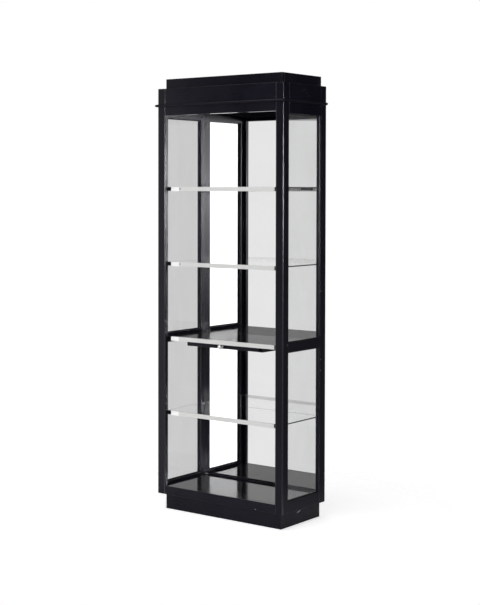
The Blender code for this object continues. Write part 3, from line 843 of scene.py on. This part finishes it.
def scuff(name, node_name, facing, centre, size, degrees, material):
    """A thin lens-shaped mark on a node's front or right face where the lacquer is scraped away; the one
    on the rear bottom rail also paints a glint.

    centre is (place along the face, height) and size is (length, width).
    """
    low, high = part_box(node_name)
    tilt = math.radians(degrees)
    rim = []
    for index in range(SCUFF_POINTS):
        turn = math.tau * index / SCUFF_POINTS
        lengthways = math.cos(turn) * size[0] / 2
        across = math.sin(turn) ** 3 * size[1] / 2
        sideways = lengthways * math.cos(tilt) - across * math.sin(tilt)
        rise = lengthways * math.sin(tilt) + across * math.cos(tilt)
        rim.append((centre[0] + sideways, centre[1] + rise))
    bm = bmesh.new()
    if facing == "front":
        outer = [bm.verts.new((along, low.y - SCUFF_PROUD, z)) for along, z in rim]
        inner = [bm.verts.new((along, low.y + SCUFF_PROUD, z)) for along, z in rim]
    else:
        outer = [bm.verts.new((high.x + SCUFF_PROUD, along, z)) for along, z in rim]
        inner = [bm.verts.new((high.x - SCUFF_PROUD, along, z)) for along, z in rim]
    bm.faces.new(outer)
    bm.faces.new(list(reversed(inner)))
    for index in range(SCUFF_POINTS):
        after = (index + 1) % SCUFF_POINTS
        bm.faces.new((outer[index], inner[index], inner[after], outer[after]))
    bmesh.ops.recalc_face_normals(bm, faces=bm.faces)
    mesh = bpy.data.meshes.new(name)
    bm.to_mesh(mesh)
    bm.free()
    piece = link(bpy.data.objects.new(name, mesh), [material])
    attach(piece, BODY_OF[node_name])


def scuffs():
    """A scrape on the plinth, a bare-wood chip on the rear bottom rail that also paints the glint on its
    edge, and rubbed spots on the frieze.
    """
    plinth_low, plinth_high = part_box("plinth_right")
    scrape = (SCRAPE_Y, plinth_low.z + (plinth_high.z - plinth_low.z) * SCRAPE_HEIGHT_SHARE)
    scuff("plinth_scrape", "plinth_right", "right", scrape, SCRAPE_SIZE, SCRAPE_DEGREES, BARE_WOOD_AND_GLINT)
    rail_low, rail_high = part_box("bottom_rail_back")
    chip_and_glint = (rail_low.x + CHIP_AND_GLINT_FROM_END, rail_high.z - CHIP_AND_GLINT_BELOW_TOP)
    # painted highlight: this light bare-wood chip also stands for the glint along the rail's top edge
    scuff("rail_chip_and_glint", "bottom_rail_back", "front", chip_and_glint, CHIP_AND_GLINT_SIZE, 0, BARE_WOOD_AND_GLINT)
    for index, (y, z, length, degrees) in enumerate(FRIEZE_SCUFFS):
        size = (length, FRIEZE_SCUFF_WIDTH)
        scuff(f"frieze_scuff_{index}", "head_rail_right", "right", (y, z), size, degrees, RUBBED)


# ---------------------------------------------------------------------------- stage
def aim(item, place, target):
    item.location = place
    item.rotation_euler = (Vector(target) - Vector(place)).to_track_quat("-Z", "Y").to_euler()


def softbox(name, place, target, size, radiance, colour=(1.0, 1.0, 1.0)):
    """A rectangular lamp that the camera doesn't see itself; radiance is 1 for backdrop white."""
    data = bpy.data.lights.new(name, "AREA")
    data.shape = "RECTANGLE"
    data.size, data.size_y = size
    data.energy = math.pi * size[0] * size[1] * radiance
    data.color = colour
    lamp = bpy.data.objects.new(name, data)
    bpy.context.scene.collection.objects.link(lamp)
    lamp.visible_camera = False
    aim(lamp, place, target)


def lamps():
    softbox("camera_side_softbox", (3.92, -4.13, 1.61), (0, 0, 1.6), (0.5, 0.8), 165.0, COOL_WHITE)
    softbox("left_panel", (-1.756, -1.053, 0.95), (0.044, 1.317, 0.95), (1.17, 3.0), 1.35)
    softbox("front_left_wall", (-2.80, -3.60, 0.28), (0, 0, 0.28), (8.0, 3.75), 0.57)
    softbox("back_right_wall", (2.80, 3.60, 0.40), (0, 0, 0.40), (5.0, 1.4), 0.06)
    softbox("overhead_softbox", (0.0, -0.6, 3.8), (0.0, -0.4, 0.0), (3.0, 3.0), 2.4)


def studio_world():
    """White past the object, greyer through glass and in the mirror, dim for everything else."""
    world = bpy.data.worlds.new("studio")
    world.use_nodes = True
    bpy.context.scene.world = world
    tree = world.node_tree
    path = node(tree, "LightPath").outputs
    direction = node(tree, "TexCoord").outputs["Generated"]
    parts = node(tree, "SeparateXYZ", {0: direction}).outputs
    glow = remap(tree, parts["Z"], *HORIZON_BLEND, STUDIO_LOW, STUDIO_HIGH)
    mirrored = remap(tree, parts["Y"], *SIDE_BLEND, IN_MIRROR, IN_PANES)
    behind = remap(tree, parts["Y"], *SIDE_BLEND, IN_MIRROR, BEHIND_GLASS)
    for ray, brightness in (
        ("Is Singular Ray", mirrored),
        ("Is Transmission Ray", behind),
        ("Is Camera Ray", BACKDROP),
    ):
        glow = node(tree, "Mix", {0: path[ray], 2: glow, 3: brightness}).outputs[0]
    background = tree.nodes["Background"]
    background.inputs["Color"].default_value = (1.0, 1.0, 1.0, 1.0)
    tree.links.new(glow, background.inputs["Strength"])


def pale_floor():
    """A pale floor under the object that melts into the backdrop, also as glass and mirror show it."""
    mesh = bpy.data.meshes.new("studio_floor")
    bm = bmesh.new()
    bmesh.ops.create_grid(bm, x_segments=1, y_segments=1, size=FLOOR_END)
    bm.to_mesh(mesh)
    bm.free()
    material, tree, shader = new_material("pale_floor", Roughness=0.7)
    shader.inputs["Emission Color"].default_value = (1.0, 1.0, 1.0, 1.0)
    path = node(tree, "LightPath").outputs
    glow = remap(tree, path["Is Camera Ray"], 0.0, 1.0, FLOOR_GLOW_INDIRECT, FLOOR_GLOW)
    feed(tree, shader, Emission_Strength=glow)
    mottle = remap(tree, noise(tree, 3.0, 3.0), 0.3, 0.7, 0.0, 1.0)
    feed(tree, shader, Base_Color=blend(tree, mottle, (0.90, 0.90, 0.90), (0.93, 0.93, 0.93)))
    place = node(tree, "TexCoord").outputs["Object"]
    distance = node(tree, "VectorMath", {0: place}, operation="LENGTH").outputs["Value"]
    clear = node(tree, "BsdfTransparent")
    away = remap(tree, distance, FLOOR_FADE, FLOOR_END, 0.0, 1.0)
    for ray in ("Is Transmission Ray", "Is Singular Ray"):
        away = calculate(tree, "MAXIMUM", away, path[ray])
    mix = node(tree, "MixShader", {0: away, 1: shader.outputs["BSDF"], 2: clear.outputs["BSDF"]})
    tree.links.new(mix.outputs["Shader"], tree.nodes["Material Output"].inputs["Surface"])
    link(bpy.data.objects.new("studio_floor", mesh), [material])


def camera():
    data = bpy.data.cameras.new("camera")
    data.sensor_width = SENSOR_WIDTH
    data.lens = CAMERA_LENS
    data.shift_x, data.shift_y = CAMERA_SHIFT
    item = bpy.data.objects.new("camera", data)
    bpy.context.scene.collection.objects.link(item)
    turn = Euler((math.pi / 2 - CAMERA_TILT, 0, CAMERA_YAW), "XYZ").to_matrix()
    roll = Euler((0, 0, CAMERA_ROLL), "XYZ").to_matrix()
    item.rotation_euler = (turn @ roll).to_euler()
    item.location = CAMERA_PLACE
    bpy.context.scene.camera = item


def stage():
    studio_world()
    lamps()
    pale_floor()
    camera()
    bpy.context.scene.view_settings.view_transform = "Standard"
    bpy.context.scene.cycles.max_bounces = BOUNCES
    bpy.context.scene.cycles.glossy_bounces = GLOSSY_BOUNCES
    bpy.context.scene.cycles.transmission_bounces = BOUNCES
    bpy.context.scene.cycles.transparent_max_bounces = BOUNCES
    bpy.context.scene.cycles.use_denoising = True


boards()
beads()
glazing()
strips_and_pins()
knob()
back_panel_nails()
frame_nails()
scuffs()
stage()
